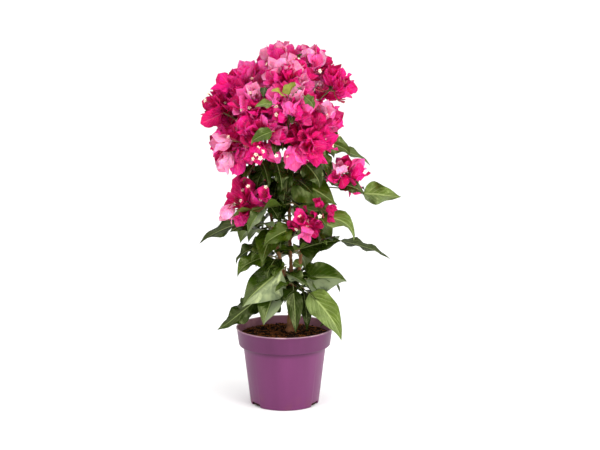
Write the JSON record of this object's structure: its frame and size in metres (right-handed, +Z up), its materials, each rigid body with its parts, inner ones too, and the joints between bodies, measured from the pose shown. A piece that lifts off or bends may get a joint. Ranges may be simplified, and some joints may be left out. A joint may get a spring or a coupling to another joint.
{
  "type": "potted bougainvillea",
  "caption": "Young potted bougainvillea: a short trunk forking into slender canes, glossy leafy shoots below and a round crown of magenta bracts, in a violet nursery pot",
  "frame": {"origin": "the centre of the pot's flat underside, on the surface it stands on", "axes": "+Z up, -Y the front that the picture shows, +X to the right of that front"},
  "size_m": [0.3463, 0.2766, 0.6322],
  "materials": {
    "pot_plastic": "violet injection-moulded plastic, satin, with a faint grain",
    "potting_soil": "moist brown peat with crumbs and fibres",
    "bark": "grey-brown ridged bark with small pale pores",
    "leaf": "glossy dark green leaf with paler ribs",
    "bract": "papery magenta bract, paler where light falls through it"
  },
  "bodies": {
    "root": {"pot": "pot_plastic", "soil": "potting_soil", "trunk": "bark", "cane_left": "bark", "cane_right": "bark", "cane_back": "bark", "bloom_side_left": "bract", "bloom_side_right": "bract", "bloom_low_front": "bract", "bloom_low_right": "bract", "bloom_crest_left": "bract", "bloom_crest_right": "bract", "bloom_right": "bract", "bloom_left_shoulder": "bract", "bloom_left": "bract", "bloom_left_skirt": "bract", "bloom_right_shoulder": "bract", "bloom_crest_front": "bract", "bloom_front": "bract", "bloom_front_left_skirt": "bract", "bloom_front_right_skirt": "bract", "bloom_front_left": "bract", "bloom_crest_back": "bract", "bloom_back_left": "bract", "bloom_back_right": "bract", "bloom_back_left_skirt": "bract", "bloom_back_right_skirt": "bract", "bloom_back_skirt": "bract", "bloom_side_back_left": "bract", "bloom_side_back_right": "bract", "leaves_front_left_low": "leaf", "leaves_front_right_low": "leaf", "leaves_front_hanging": "leaf", "leaves_right_low": "leaf", "leaves_left_low": "leaf", "leaves_back_left_low": "leaf", "leaves_left_middle": "leaf", "leaves_left_curled": "leaf", "leaves_left_long": "leaf", "leaves_front_left_high": "leaf", "leaves_front_small": "leaf", "leaves_right_far": "leaf", "leaves_right_high": "leaf", "leaves_front_right_high": "leaf", "leaves_front_broad": "leaf", "leaves_right_curled": "leaf", "leaves_right_slender": "leaf", "leaves_front_right_middle": "leaf", "leaves_front_left_top": "leaf", "leaves_left_high": "leaf", "leaves_back_right_low": "leaf", "leaves_back_low": "leaf", "leaves_back_left_middle": "leaf", "leaves_back_right_middle": "leaf", "leaves_back_middle": "leaf", "leaves_back_left_high": "leaf", "leaves_back_right_high": "leaf", "leaves_back_high": "leaf"}
  },
  "joints": []
}
